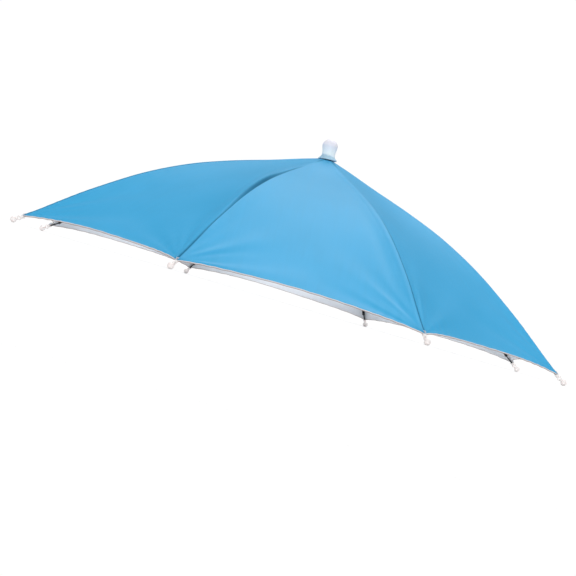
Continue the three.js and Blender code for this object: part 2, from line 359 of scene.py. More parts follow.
SWEPT = swept_tree()
THREAD = thread_tree()
RING = ring_tree()
COPIES = copies_tree()


def grown(name, seed, tree, **inputs):
    """The plain mesh object that the tree makes from the seed mesh."""
    holder = object_of(name, seed)
    modifier = holder.modifiers.new(name, "NODES")
    modifier.node_group = tree
    for socket in tree.interface.items_tree:
        if socket.in_out == "INPUT" and socket.name in inputs:
            modifier[socket.identifier] = inputs[socket.name]
    settle(holder)
    for value in inputs.values():
        if isinstance(value, bpy.types.Object):
            bpy.data.objects.remove(value)
    return holder


def thread_along(name, lines, radius, sides, material, closed=False):
    seed = lines_mesh(name, lines, closed)
    return grown(name, seed, THREAD, Radius=radius, Sides=sides, Material=material)


def section_along(name, lines, points, material):
    flat = [(x, y, 0.0) for x, y in points]
    section = object_of("section", lines_mesh("section", [flat], closed=True))
    return grown(name, lines_mesh(name, lines), SWEPT, Section=section, Material=material)


def at_every_rib(name, seed, material):
    """Copies of a seed that lies in the plane of +X, one in each rib's plane."""
    return grown(name, seed, RING, Copies=GORES, First=HALF_GORE, Material=material)


def turned_points(name, places, across, upright):
    """A seed of points, each with the turn that lays a piece's X along and its Z upright."""
    across = unit(np.asarray(across, float))
    upright = unit(upright - (upright * across).sum(-1, keepdims=True) * across)
    side = np.cross(upright, across)
    turns = [
        Matrix((a, s, u)).transposed().to_euler() for a, s, u in zip(across, side, upright)
    ]
    seed = mesh_of(name, places, [])
    turn = seed.attributes.new("turn", "FLOAT_VECTOR", "POINT")
    turn.data.foreach_set("vector", np.array(turns, float).ravel())
    return seed


# The seam line that every rib carries

def seam_table():
    """The seam's length from the apex, its points (from the axis, height) and tangents."""
    points = np.array(
        [(out * CORNER_RADIUS, APEX_HEIGHT - fall * CANOPY_RISE) for out, fall in SEAM_SECTIONS]
    )
    last = len(points) - 1
    t = np.linspace(0, last, 4001)
    i = np.minimum(t.astype(int), last - 1)
    w = (t - i)[:, None]
    p0, p1, p2, p3 = (points[np.clip(i + k, 0, last)] for k in (-1, 0, 1, 2))
    v0, v1 = (p2 - p0) / 2, (p3 - p1) / 2
    line = (2 * p1 - 2 * p2 + v0 + v1) * w**3 + (3 * p2 - 3 * p1 - 2 * v0 - v1) * w**2
    line = line + v0 * w + p1
    length = lengths_along(line)
    return length, line, unit(np.gradient(line, length, axis=0))


SEAM_AT, SEAM_LINE, SEAM_SLOPE = seam_table()
SEAM_LENGTH = SEAM_AT[-1]


def seam(share):
    """The seam's points and tangents, as (distance from the axis, height)."""
    place = np.asarray(share) * SEAM_LENGTH
    return looked_up(place, SEAM_AT, SEAM_LINE), looked_up(place, SEAM_AT, SEAM_SLOPE)


def share_at(radius):
    return float(np.interp(radius, SEAM_LINE[:, 0], SEAM_AT)) / SEAM_LENGTH


def seam_height(radius):
    return float(np.interp(radius, SEAM_LINE[:, 0], SEAM_LINE[:, 1]))


def half_width(share):
    """Half of a gore's width, this far down its length."""
    return seam(share)[0][..., 0] * math.sin(HALF_GORE)


def under_seam(share, depth):
    """A point in a rib's plane, this deep under the seam."""
    point, along = seam(share)
    x = point[..., 0] + along[..., 1] * depth
    z = point[..., 1] - along[..., 0] * depth
    return np.stack([x, 0 * x, z], -1)


# The frame that every tip is made in

RIB_END_SHARE = 1 - RIB_END_INSET / SEAM_LENGTH
RIB_END = under_seam(np.array(RIB_END_SHARE), RIB_SEAT + RIB_DEPTH / 2)
TIP_LINE = RIB_END - BALL_CENTRE
TIP_AXIS = unit(TIP_LINE)
TIP_FRAME = np.array([[0.0, 1.0, 0.0], TIP_AXIS, np.cross([0.0, 1.0, 0.0], TIP_AXIS)])


def from_tip(points):
    """Points of a tip's own frame, Y up its axis from the ball's centre and X sideways."""
    return np.asarray(points, float) @ TIP_FRAME + BALL_CENTRE


# Materials

def finish(name, **sockets):
    """A Principled material with these values on its own sockets."""
    material = bpy.data.materials.new(name)
    material.use_nodes = True
    tree = material.node_tree
    shader = tree.nodes["Principled BSDF"]
    for label, value in sockets.items():
        shader.inputs[label.replace("_", " ")].default_value = value
    return material, tree, shader


def mix(tree, share, low, high):
    """A colour between two, by a share."""
    node = add(tree, "ShaderNodeMix", data_type="RGBA")
    for socket, value in ((0, share), (6, low), (7, high)):
        if isinstance(value, bpy.types.NodeSocket):
            tree.links.new(value, node.inputs[socket])
        else:
            node.inputs[socket].default_value = value if socket == 0 else (*value, 1.0)
    return node.outputs[2]


def figure(tree, operation, *values):
    node = add(tree, "ShaderNodeMath", dict(enumerate(values)), operation=operation)
    return node.outputs[0]


def ramp(tree, value, low, high):
    """0 below low and 1 above high, with a soft change between."""
    inputs = {"Value": value, "From Min": low, "From Max": high}
    node = add(tree, "ShaderNodeMapRange", inputs, interpolation_type="SMOOTHSTEP")
    return node.outputs[0]


def noise(tree, where, scale, detail=3.0, stretch=(1, 1, 1)):
    drawn = add(tree, "ShaderNodeMapping", {"Vector": where, "Scale": stretch})
    inputs = {"Vector": drawn.outputs[0], "Scale": scale, "Detail": detail}
    return add(tree, "ShaderNodeTexNoise", inputs).outputs["Fac"]


def weave(tree, where, pitch):
    """The height of a plain weave: threads over and under each other at this pitch."""
    parts = add(tree, "ShaderNodeSeparateXYZ", {0: where})
    waves = [
        figure(tree, "SINE", figure(tree, "MULTIPLY", parts.outputs[k], math.pi / pitch))
        for k in (0, 1)
    ]
    return figure(tree, "MULTIPLY", *waves)


def feed(tree, shader, **sockets):
    """Links these values into the shader's own sockets."""
    for label, value in sockets.items():
        tree.links.new(value, shader.inputs[label.replace("_", " ")])


def between(tree, share, low, high):
    """A value between two, by a share."""
    inputs = {"Value": share, "To Min": low, "To Max": high}
    return add(tree, "ShaderNodeMapRange", inputs).outputs[0]


def bumped(tree, shader, height, strength, distance):
    inputs = {"Height": height, "Strength": strength, "Distance": distance}
    feed(tree, shader, Normal=add(tree, "ShaderNodeBump", inputs).outputs[0])


def object_place(tree):
    return add(tree, "ShaderNodeTexCoord").outputs["Object"]


def on_cloth(tree):
    """Where a point lies on the cut cloth, in metres, from the piece's own UV map."""
    return add(tree, "ShaderNodeUVMap", uv_map="cut").outputs[0]


def cloth_finish(name, deep, light, seam_line_and_painted_shade, **sockets):
    """Woven satin, faintly streaked along the warp, and of a deeper tone along its seam lines and
    in painted shade beside folds, at the tips' corners and at the hem.
    """
    material, tree, shader = finish(name, **sockets)
    where = on_cloth(tree)
    streaks = noise(tree, where, 160.0, 2.0, (1.0, 0.06, 1.0))
    clouds = noise(tree, object_place(tree), 9.0)
    share = figure(tree, "ADD", figure(tree, "MULTIPLY", streaks, 0.3),
                   figure(tree, "MULTIPLY", clouds, 0.7))
    body = mix(tree, ramp(tree, share, 0.3, 0.7), deep, light)
    # the seam lines and the painted shade, as a share kept on the mesh
    folded = add(tree, "ShaderNodeAttribute", attribute_name="seam_line_and_painted_shade").outputs["Fac"]
    rough = figure(tree, "MULTIPLY_ADD", streaks, 0.07, sockets["Roughness"] - 0.03)
    rough = figure(tree, "MULTIPLY_ADD", folded, 0.5, rough)
    feed(tree, shader, Base_Color=mix(tree, folded, body, seam_line_and_painted_shade), Roughness=rough)
    bumped(tree, shader, weave(tree, where, 0.00032), 0.22, 0.00004)
    return material


def steel_finish():
    """Dark plated steel, drawn lengthwise, a little worn."""
    material, tree, shader = finish("dark plated steel", Metallic=0.9)
    where = object_place(tree)
    wear = noise(tree, where, 60.0, 5.0)
    tone = mix(tree, ramp(tree, wear, 0.45, 0.7), (0.022, 0.025, 0.029), (0.055, 0.06, 0.066))
    feed(tree, shader, Base_Color=tone, Roughness=between(tree, wear, 0.24, 0.42))
    bumped(tree, shader, noise(tree, where, 900.0, 2.0), 0.15, 0.00003)
    return material


def plastic_finish(name, tones, heights, rough, **sockets):
    """Milky moulded plastic, its tones following each other between these heights."""
    material, tree, shader = finish(name, **sockets)
    where = object_place(tree)
    height = add(tree, "ShaderNodeSeparateXYZ", {0: where}).outputs["Z"]
    cloud = noise(tree, where, 240.0, 2.0)
    wavy = figure(tree, "MULTIPLY_ADD", figure(tree, "SUBTRACT", cloud, 0.5), 0.0012, height)
    tone = mix(tree, ramp(tree, wavy, *heights[:2]), *tones[:2])
    for start, end, following in zip(heights[1:], heights[2:], tones[2:]):
        tone = mix(tree, ramp(tree, wavy, start, end), tone, following)
    spread = between(tree, cloud, rough - 0.05, rough + 0.06)
    feed(tree, shader, Base_Color=tone, Roughness=spread)
    bumped(tree, shader, noise(tree, where, 1400.0, 2.0), 0.12, 0.00004)
    return material


def thread_finish(name, deep, light):
    """Spun sewing thread."""
    material, tree, shader = finish(name, Roughness=0.7, Sheen_Weight=0.2)
    where = object_place(tree)
    fibre = noise(tree, where, 2500.0, 3.0)
    feed(tree, shader, Base_Color=mix(tree, fibre, deep, light))
    bumped(tree, shader, fibre, 0.5, 0.00008)
    return material


def elastic_finish():
    """Woven elastic: crosswise picks over lengthwise rubber cords, a little faded."""
    material, tree, shader = finish("woven elastic", Sheen_Weight=0.35, Sheen_Roughness=0.5)
    where = on_cloth(tree)
    picks = weave(tree, where, 0.0008)
    fade = noise(tree, object_place(tree), 35.0, 4.0)
    share = ramp(tree, figure(tree, "MULTIPLY_ADD", picks, 0.25, fade), 0.2, 0.9)
    tone = mix(tree, share, (0.008, 0.009, 0.011), (0.035, 0.037, 0.042))
    feed(tree, shader, Base_Color=tone, Roughness=between(tree, fade, 0.75, 0.95))
    bumped(tree, shader, picks, 0.6, 0.00012)
    return material


sky_cloth = cloth_finish(
    "sky blue satin", (0.033, 0.338, 0.615), (0.040, 0.362, 0.657), (0.003, 0.09, 0.18),
    Roughness=0.48, Specular_IOR_Level=0.19, Sheen_Weight=0.02, Sheen_Roughness=0.4,
)
silver_cloth = cloth_finish(
    "silver coating", (0.70, 0.73, 0.77), (0.78, 0.81, 0.85), (0.45, 0.48, 0.52),
    Roughness=0.42, Metallic=0.15,
)
steel = steel_finish()
tip_plastic = plastic_finish(
    "milky tip plastic", [(0.80, 0.755, 0.745), (0.86, 0.815, 0.80)], [0.0, 0.02], 0.36,
    Subsurface_Weight=0.35, Subsurface_Radius=(0.004, 0.0035, 0.0035), Subsurface_Scale=0.6,
)
# bluish at the flange and milky white on the body; the dome's greyer lavender is partly the
# plastic's tint and partly painted shade, darker so that its brightly lit top does not wash out
cap_plastic = plastic_finish(
    "milky cap plastic", [(0.38, 0.58, 0.72), (0.84, 0.91, 0.95), (0.77, 0.76, 0.83)],
    [0.2295, 0.2345, 0.250], 0.5, Specular_IOR_Level=0.3,
    Subsurface_Weight=0.3, Subsurface_Radius=(0.005, 0.005, 0.006), Subsurface_Scale=0.6,
)
hub_plastic = plastic_finish(
    "white hub plastic", [(0.70, 0.71, 0.74), (0.80, 0.81, 0.84)], [0.214, 0.24], 0.4,
)
blue_thread = thread_finish("blue thread", (0.03, 0.24, 0.46), (0.07, 0.38, 0.66))
pale_thread = thread_finish("pale thread", (0.55, 0.56, 0.60), (0.80, 0.81, 0.84))
hem_binding = thread_finish("pale hem binding", (0.50, 0.47, 0.48), (0.74, 0.70, 0.71))
# partly a real overlock thread, its dark grey brown also painted shadow under the hem tape
hem_shadow_thread = thread_finish("grey brown thread", (0.16, 0.13, 0.12), (0.32, 0.27, 0.25))
black_thread = thread_finish("black thread", (0.01, 0.01, 0.012), (0.05, 0.05, 0.055))
elastic = elastic_finish()


# Canopy

def gore_surface(share, across):
    """The cloth's outside in one gore, its middle towards +X."""
    bow = 1 - across**2
    pulled = share - HEM_PULL * share**4 * bow / SEAM_LENGTH
    point, along = seam(pulled)
    slope = unit(np.stack([along[..., 0] * math.cos(HALF_GORE), along[..., 1]], -1))
    hang = GORE_SAG * 27 * share**2 * (1 - share) / 4 + HEM_SAG * share**3
    x = point[..., 0] * math.cos(HALF_GORE) + slope[..., 1] * hang * bow
    z = point[..., 1] - slope[..., 0] * hang * bow
    y = across * seam(share)[0][..., 0] * math.sin(HALF_GORE)
    return np.stack([x, y, z], -1)


def drawn_out(off_corner):
    """How a tip draws the cloth out over its socket, this far off the cloth's corner."""
    fade = np.exp(-np.asarray(off_corner) / CORNER_FADE)
    return fade * (CORNER_LIFT * TIP_FRAME[2] - CORNER_DRAW * TIP_AXIS)


def drawn_to_tips(points):
    """A gore's points with its two corners drawn out along the axes of their tips."""
    drawn = points
    for side in (-1, 1):
        corner = gore_surface(np.array(1.0), np.array(float(side)))
        off_corner = np.linalg.norm(points - corner, axis=-1, keepdims=True)
        drawn = drawn + around(drawn_out(off_corner), side * HALF_GORE)
    return drawn


def cloth_rows():
    """Shares of a gore's length, close together at the hem."""
    hem = [0, 0.35, 0.8, 1.4, 2.1, 2.9, 3.6, 4.1, 4.6, 5.2, 6.2, 7.8, 10, 13]
    hole = share_at((POST_RADIUS + SEAT_GAP) / math.cos(HALF_GORE)) * SEAM_LENGTH
    near = np.linspace(0.013, 0.13, 31)[1:]
    far = np.linspace(0.13, SEAM_LENGTH - hole, 27)[1:]
    off = np.concatenate([np.array(hem) * 0.001, near, far])
    return 1 - off[::-1] / SEAM_LENGTH


def cloth_columns():
    """Places across a gore from one seam almost to the next, close together at the seams."""
    near = [0, 0.0035, 0.0075, 0.0125, 0.018, 0.025, 0.034, 0.046, 0.06, 0.08, 0.1]
    half = np.concatenate([near, np.linspace(0.1, 0.45, 24)[1:], np.linspace(0.45, 1, 9)[1:]])
    return np.concatenate([half - 1, (1 - half)[::-1][1:-1]])


ROWS = cloth_rows()
COLUMNS = cloth_columns()

# How each gore's later edge is sewn: where along it the cloth stands up in a fold beside the
# seam, over what share of the length, how high, how far down the tight seam line starts, how
# tight the seam is at the cap, and how deep the hollow in the cloth beside it
SEWING = [
    (0.50, 0.20, 0.0008, 0.45, 0.2, 0.0005), (0.38, 0.18, 0.0014, 0.30, 0.5, 0.0004),
    (0.55, 0.22, 0.0007, 0.55, 0.1, 0.0007), (0.42, 0.16, 0.0017, 0.35, 0.6, 0.0005),
    (0.48, 0.20, 0.0010, 0.40, 0.2, 0.0004), (0.60, 0.22, 0.0008, 0.50, 0.5, 0.0008),
    (0.48, 0.19, 0.0034, 0.16, 0.0, 0.0002), (0.36, 0.14, 0.0002, 0.80, 0.9, 0.0013),
]


# The folds that fan out from a tip: how far apart in radians, how far they reach, how steep
TIP_FOLDS = [(0.27, 0.10, 0.024), (0.52, 0.14, 0.018)]


# How hard each gore is pulled at its earlier and its later corner
TIP_PULLS = [
    (0.7, 1.0), (0.5, 0.8), (0.9, 0.6), (0.6, 1.0), (0.8, 0.5), (1.0, 0.7), (0.7, 0.5), (0.9, 1.5),
]


def tip_creases(reach, turn, pull):
    """Narrow creases that fan out from a tip, as tall as the cloth is pulled there."""
    relief = np.zeros(reach.shape)
    for heading in np.arange(0.2, 1.15, 0.165):
        heading += chance.uniform(-0.045, 0.045)
        wide, tall = chance.uniform(0.036, 0.050), chance.uniform(0.6, 1.0)
        starts, ends = chance.uniform(0.008, 0.018), chance.uniform(0.08, 0.13)
        bend = 0.5 * chance.uniform(-1, 1) * reach
        crest = np.exp(-(((turn - heading - bend) / wide) ** 2))
        stretch = smooth((reach - starts * 0.5) / starts) * (1 - smooth(reach / ends))
        relief += pull * tall * 0.016 * reach * crest * stretch
    return relief


def corner_folds(points, phases, strengths, pulls):
    """Soft folds and creases that fan out from a gore's two corners, where the tips pull."""
    relief = np.zeros(points.shape[:-1])
    reaches = []
    for side, pull in zip((-1, 1), pulls):
        corner = gore_surface(np.array(1.0), np.array(float(side)))
        seamwards = unit(gore_surface(np.array(0.9), np.array(float(side))) - corner)
        inwards = gore_surface(np.array(0.9), np.array(side * 0.75)) - corner
        hemwards = unit(inwards - np.dot(inwards, seamwards) * seamwards)
        off = points - corner
        reach = np.linalg.norm(off, axis=-1)
        turn = np.arctan2(np.abs(off @ hemwards), off @ seamwards)
        reaches.append(reach)
        for k, (spread, far, steep) in enumerate(TIP_FOLDS):
            fold = np.cos(2 * math.pi * turn / spread + phases[side][k])
            fade = np.exp(-((reach / far) ** 2)) * smooth(turn / 0.16)
            relief += strengths[side][k] * steep * spread * reach * fold * fade
        relief += tip_creases(reach, turn, pull)
    return relief, np.minimum(*reaches)


def gore_relief(gore, points, share, across):
    """How far the cloth stands off its plain surface."""
    width = half_width(share)
    off_seam = (1 - np.abs(across)) * width
    off_hem = (1 - share) * SEAM_LENGTH
    along = share * SEAM_LENGTH
    clear = smooth(width / 0.03)
    # the tips' folds and creases
    phases = {side: chance.uniform(0, 2 * math.pi, len(TIP_FOLDS)) for side in (-1, 1)}
    strengths = {side: chance.uniform(0.7, 1.3, len(TIP_FOLDS)) for side in (-1, 1)}
    relief, reach = corner_folds(points, phases, strengths, TIP_PULLS[gore])
    # the seam: its line, the fold beside it, its allowance and the hollow further in
    stands_at, stands_over, stands, line_from, at_cap, hollow = SEWING[gore]
    later = across > 0
    over = stands_over * np.where(share > stands_at, 1.4, 1.0)
    fold = stands * np.exp(-(((share - stands_at) / over) ** 2)) * later
    fold *= clear
    tight = 0.04 + 0.88 * smooth((share - line_from) / 0.12)
    tight = np.maximum(tight, at_cap * (1 - smooth((share - 0.07) / 0.04)))
    relief -= (0.0002 + 0.0004 * tight) * clear * np.exp(-((off_seam / 0.0011) ** 2))
    beyond = np.exp(-((np.maximum(0, off_seam - 0.0078) / 0.015) ** 2))
    relief += fold * smooth((off_seam - 0.0012) / 0.0066) * beyond
    edge = smooth((off_seam - 0.0012) / 0.0016) * (1 - smooth((off_seam - ALLOWANCE) / 0.003))
    relief += 0.0005 * clear * edge * later
    beside = np.exp(-(((off_seam - 0.021) / 0.010) ** 2)) * np.exp(-(((share - 0.68) / 0.2) ** 2))
    relief -= (hollow * later + 0.0003) * beside
    # puckers along the seam, near the hem
    wobble = 1.6 * np.sin(along * 41 + gore) + 1.1 * np.sin(along * 97 + 2 * gore)
    pucker = np.sin(2 * math.pi * along / 0.0115 + wobble)
    near_hem = smooth((share - 0.72) / 0.06)
    relief += 0.00011 * near_hem * pucker * np.exp(-((off_seam / 0.012) ** 2))
    # the hem: its waves, its turned layer, its stitch line and its droop at the tips
    lateral = across * width
    hem_wave = np.sin(2 * math.pi * lateral / 0.019 + 1.3 * np.sin(lateral * 50 + gore))
    relief += 0.00035 * hem_wave * np.exp(-off_hem / 0.014) * smooth((1 - np.abs(across)) / 0.2)
    hem = 1 - smooth((off_hem - HEM_WIDTH) / 0.0009)
    relief += 0.00025 * hem - 0.0002 * np.exp(-(((off_hem - HEM_STITCHES) / 0.0005) ** 2))
    relief -= 0.0016 * np.exp(-off_hem / 0.0045) * np.exp(-reach / 0.028)
    # broad slack
    hang = np.zeros_like(share)
    for _ in range(4):
        away, down, start = chance.uniform(8, 26), chance.uniform(6, 22), chance.uniform(0, 6)
        hang += np.cos(lateral * away + along * down + start)
    relief += 0.00055 * hang * (1 - across**2) * smooth(width / 0.05)
    # the layers, and a share that deepens the cloth's tone: the tight seam line, darker partly for
    # its thread and partly as painted shade of its groove, painted shade on the flank beside a
    # standing fold, and painted shade at the tips' corners and along the hem's edge
    wall = CLOTH_WALL + FOLD_WALL * hem
    wall = wall + FOLD_WALL * later * (1 - smooth((off_seam - ALLOWANCE) / 0.0008)) * clear
    seam_line_and_painted_shade = tight * np.exp(-((off_seam / (0.0010 + 0.38 * stands)) ** 2)) * smooth(width / 0.004)
    # painted shade: the flank beside a standing fold is darkened as though the fold shaded it
    flank = 0.0012 + 2.0 * fold
    shade = 1 - smooth((off_seam - 0.4 * flank) / (0.8 * flank))
    seam_line_and_painted_shade = np.maximum(seam_line_and_painted_shade, 250 * fold * shade)
    # painted shade by the tips' corners and along the hem's cut edge
    seam_line_and_painted_shade = seam_line_and_painted_shade + 0.55 * np.exp(-reach / 0.005) + 0.3 * np.exp(-off_hem / 0.0006)
    return relief, wall, np.clip(seam_line_and_painted_shade, 0, 0.95)


def cloth_layers():
    """The canopy's outer and inner faces as grids of points that close round the hat."""
    share, across = np.meshgrid(ROWS, COLUMNS, indexing="ij")
    plain = gore_surface(share, across)
    angles = [(gore + 1) * 2 * HALF_GORE for gore in range(GORES)]
    sewn_on = drawn_to_tips(plain)
    base = np.concatenate([around(sewn_on, angle) for angle in angles], axis=1)
    made = [gore_relief(gore, plain, share, across) for gore in range(GORES)]
    relief, wall, seam_line_and_painted_shade = (np.concatenate(kept, axis=1) for kept in zip(*made))
    down = np.gradient(base, axis=0)
    round_it = np.roll(base, -1, axis=1) - np.roll(base, 1, axis=1)
    facing = unit(np.cross(down, round_it))
    outer = base + relief[..., None] * facing
    inner = outer - wall[..., None] * facing
    return outer, inner, facing, seam_line_and_painted_shade


OUTER, INNER, FACING, SEAM_LINE_AND_PAINTED_SHADE = cloth_layers()


def cut_map(mesh, flat):
    """A UV map of where each face corner lies on its own piece's cut, in metres."""
    layer = mesh.uv_layers.new(name="cut")
    layer.data.foreach_set("uv", flat.astype(np.float32).ravel())


def make_canopy():
    """One continuous sheet: blue outside, silver coating inside, hem and seam folds in it."""
    rows, columns = OUTER.shape[:2]
    count = rows * columns
    skin = grid_faces(rows, columns, turned=True)
    lining = grid_faces(rows, columns, first=count)
    c = np.arange(columns)
    n = (c + 1) % columns
    low = (rows - 1) * columns
    hem = np.stack([low + n, low + c, low + c + count, low + n + count], -1)
    hole = np.stack([c, n, n + count, c + count], -1)
    faces = np.concatenate([skin, lining, hem, hole])
    mesh = mesh_of("canopy", np.concatenate([OUTER.reshape(-1, 3), INNER.reshape(-1, 3)]), faces)
    mesh.materials.append(sky_cloth)
    mesh.materials.append(silver_cloth)
    lined = np.zeros(len(faces), int)
    lined[len(skin):len(skin) + len(lining)] = 1
    mesh.polygons.foreach_set("material_index", lined)
    shade_smooth(mesh)
    # the share of seam line and painted shade at each point, for the cloth's tone
    kept = mesh.attributes.new("seam_line_and_painted_shade", "FLOAT", "POINT")
    kept.data.foreach_set("value", np.tile(SEAM_LINE_AND_PAINTED_SHADE.ravel(), 2).astype(np.float32))
    corners = faces % count
    row, column = corners // columns, corners % columns
    first = column.min(axis=1, keepdims=True)
    wraps = np.ptp(column, axis=1) > 1
    first[wraps] = columns - 1
    gore = first // len(COLUMNS)
    end = (column % len(COLUMNS) == 0) & (column != first)
    across = np.where(end, 1.0, COLUMNS[column % len(COLUMNS)])
    share = ROWS[row]
    flat = [across * half_width(share) + gore * GORE_PITCH, share * SEAM_LENGTH]
    cut_map(mesh, np.stack(flat, -1))
    mesh.update()
    return object_of("canopy", mesh)


def cloth_at(layer, gore, share, across):
    """Points of one face of the cloth, by share of a gore's length and place across it."""
    share, across = np.broadcast_arrays(np.asarray(share, float), np.asarray(across, float))
    columns = np.append(COLUMNS, 1.0)
    i = np.clip(np.searchsorted(ROWS, share) - 1, 0, len(ROWS) - 2)
    j = np.clip(np.searchsorted(columns, across) - 1, 0, len(COLUMNS) - 1)
    u = ((share - ROWS[i]) / (ROWS[i + 1] - ROWS[i]))[..., None]
    v = ((across - columns[j]) / (columns[j + 1] - columns[j]))[..., None]
    a = gore * len(COLUMNS) + j
    b = (a + 1) % layer.shape[1]
    near = layer[i, a] * (1 - v) + layer[i, b] * v
    far = layer[i + 1, a] * (1 - v) + layer[i + 1, b] * v
    return near * (1 - u) + far * u


def hem_lines(start):
    """Each gore's hem from this far off one corner to as far off the other, the way it faces
    and the way down the cloth."""
    across = (1 - start) * np.sin(np.linspace(-math.pi / 2, math.pi / 2, 101))
    lines = []
    for gore in range(GORES):
        outer, inner, facing = (
            cloth_at(layer, gore, 1.0, across) for layer in (OUTER, INNER, FACING)
        )
        line, facing = (outer + inner) / 2, unit(facing)
        lines.append((line, facing, np.cross(unit(np.gradient(line, axis=0)), facing)))
    return lines


def make_hem_tape():
    """A narrow pale tape folded over the cut edge all round."""
    sides = 14
    turn = np.arange(sides) * 2 * math.pi / sides
    points, faces = [], []
    for line, facing, down in hem_lines(0.012):
        wave = 1 + 0.05 * np.sin(np.arange(len(line)) * 1.7)
        ring = (
            line[:, None]
            + facing[:, None] * (TAPE_HALF_WALL * np.cos(turn))[None, :, None]
            + down[:, None]
            * (TAPE_HALF_WIDTH * wave[:, None] * np.sin(turn) - 0.0001)[..., None]
        )
        first = len(points) * ring.shape[0] * sides
        faces.append(grid_faces(len(line), sides, first=first))
        points.append(ring.reshape(-1, 3))
    mesh = mesh_of("hem_tape", np.concatenate(points), np.concatenate(faces))
    with reworked(mesh) as work:
        bmesh.ops.holes_fill(work, edges=[e for e in work.edges if e.is_boundary], sides=0)
    tidy(mesh, 60)
    return object_of("hem_tape", mesh, hem_binding)


def ball_of(name, around_it, along_it, radius):
    """A plain ball with its poles on Z."""
    mesh = bpy.data.meshes.new(name)
    with reworked(mesh) as work:
        bmesh.ops.create_uvsphere(
            work, u_segments=around_it, v_segments=along_it, radius=radius
        )
    return mesh


def stitch_piece(length):
    """One sewn stitch, a small rounded bar along X."""
    mesh = ball_of("stitch", 6, 5, 1)
    size = Matrix.Diagonal((length / 2, STITCH_WIDTH / 2, STITCH_HEIGHT / 2, 1))
    mesh.transform(size @ Matrix.Rotation(math.pi / 2, 4, "Y"))
    shade_smooth(mesh)
    return object_of("stitch", mesh)


def sewn(name, lines, facings, pitch, length, material):
    """A run of stitches along each line, flat on the cloth."""
    places, ways, ups = [], [], []
    for line, facing in zip(lines, facings):
        spots = spaced(line, pitch)
        nearest = np.linalg.norm(spots[:, None] - line[None], axis=-1).argmin(1)
        places.append(spots)
        ways.append(np.gradient(line, axis=0)[nearest])
        ups.append(facing[nearest])
    seed = turned_points(name, *map(np.concatenate, (places, ways, ups)))
    return grown(name, seed, COPIES, Piece=stitch_piece(length), Material=material)


def make_hem_stitches(name, layer, side, material):
    """The stitch line above the hem, on one face of the cloth."""
    share = 1 - HEM_STITCHES / SEAM_LENGTH
    across = np.linspace(-0.985, 0.985, 161)
    lines = [cloth_at(layer, gore, share, across) for gore in range(GORES)]
    facings = [side * cloth_at(FACING, gore, share, across) for gore in range(GORES)]
    return sewn(name, lines, facings, 0.0034, 0.0026, material)


def make_seam_stitches():
    """The stitch line along each seam's allowance, on the silver side."""
    share = np.linspace(share_at(0.03), 0.985, 140)
    across = 1 - SEAM_STITCHES / half_width(share)
    lines = [cloth_at(INNER, gore, share, across) for gore in range(GORES)]
    facings = [-cloth_at(FACING, gore, share, across) for gore in range(GORES)]
    return sewn("seam_stitches", lines, facings, 0.0038, 0.0028, pale_thread)


def make_hem_thread():
    """The overlocking thread that edges the tape's underside, its grey brown dark enough to paint
    the shadow line under the hem.
    """
    lines = [line + down * 0.0009 - facing * 0.0003 for line, facing, down in hem_lines(0.014)]
    made = thread_along("hem_thread", lines, HEM_THREAD_RADIUS, 7, hem_shadow_thread)
    tidy(made.data, 60)
    return made


# Ribs, tips and their threads

def channel_section():
    """A rib's channel, open below, with its bends rounded."""
    outer, inner, bend = RIB_WIDTH / 2, RIB_WIDTH / 2 - RIB_WALL, 0.0005
    turns = np.radians([0, 30, 60, 90])
    back = [(outer - bend + bend * math.sin(t), bend - bend * math.cos(t)) for t in turns]
    lip = [(outer, RIB_DEPTH - 0.0002), (outer - 0.0002, RIB_DEPTH)]
    lip += [(inner + 0.0002, RIB_DEPTH), (inner, RIB_DEPTH - 0.0002)]
    half = back + lip + [(inner, RIB_WALL + 0.0002), (inner - 0.0002, RIB_WALL)]
    return half + [(-x, y) for x, y in reversed(half)]


def rounded_box_section(width, top, bottom, bend):
    """A rectangle with rounded corners."""
    turns = np.radians([0, 30, 60, 90])
    half_width, middle, half = width / 2 - bend, (top + bottom) / 2, (bottom - top) / 2 - bend
    points = []
    for quarter, (x, y) in enumerate(((1, 1), (-1, 1), (-1, -1), (1, -1))):
        for t in turns + quarter * math.pi / 2:
            across, down = bend * math.cos(t), bend * math.sin(t)
            points.append((x * half_width + across, middle + y * half + down))
    return points


def join_meshes(name, parts):
    """One mesh of several sets of points and faces."""
    points, faces, first = [], [], 0
    for part_points, part_faces in parts:
        points.append(np.asarray(part_points, float).reshape(-1, 3))
        faces += [tuple(int(i) + first for i in face) for face in part_faces]
        first += len(points[-1])
    return mesh_of(name, np.concatenate(points), faces)


def plain_parts(mesh):
    points = np.array([v.co for v in mesh.vertices], float)
    return points, [tuple(p.vertices) for p in mesh.polygons]


def joined(name, *pieces):
    """One mesh of several objects, which it takes up."""
    mesh = join_meshes(name, [plain_parts(piece.data) for piece in pieces])
    for piece in pieces:
        bpy.data.objects.remove(piece)
    return mesh


def make_ribs():
    """Eight channels, each with its crimped end and the wire that carries the tip."""
    share = np.linspace(share_at(RIB_HEAD_RADIUS), RIB_END_SHARE, 90)
    line = under_seam(share, RIB_SEAT)
    channel = section_along("channel", [line], channel_section(), steel)
    crimp_share = np.linspace(RIB_END_SHARE - CRIMP_LENGTH / SEAM_LENGTH, RIB_END_SHARE, 7)
    flattened = rounded_box_section(RIB_WIDTH - 0.0002, 0.0002, RIB_DEPTH + 0.0002, 0.0008)
    crimp = section_along("crimp", [under_seam(crimp_share, RIB_SEAT)], flattened, steel)
    start = np.linalg.norm(TIP_LINE) + CRIMP_LENGTH / 2
    wire_line = from_tip([(0, y, 0) for y in np.linspace(start, WIRE_END_REACH, 6)])
    wire = thread_along("wire", [wire_line], WIRE_RADIUS, 16, steel)
    seed = joined("ribs", channel, crimp, wire)
    tidy(seed, 40)
    return at_every_rib("ribs", seed, steel)


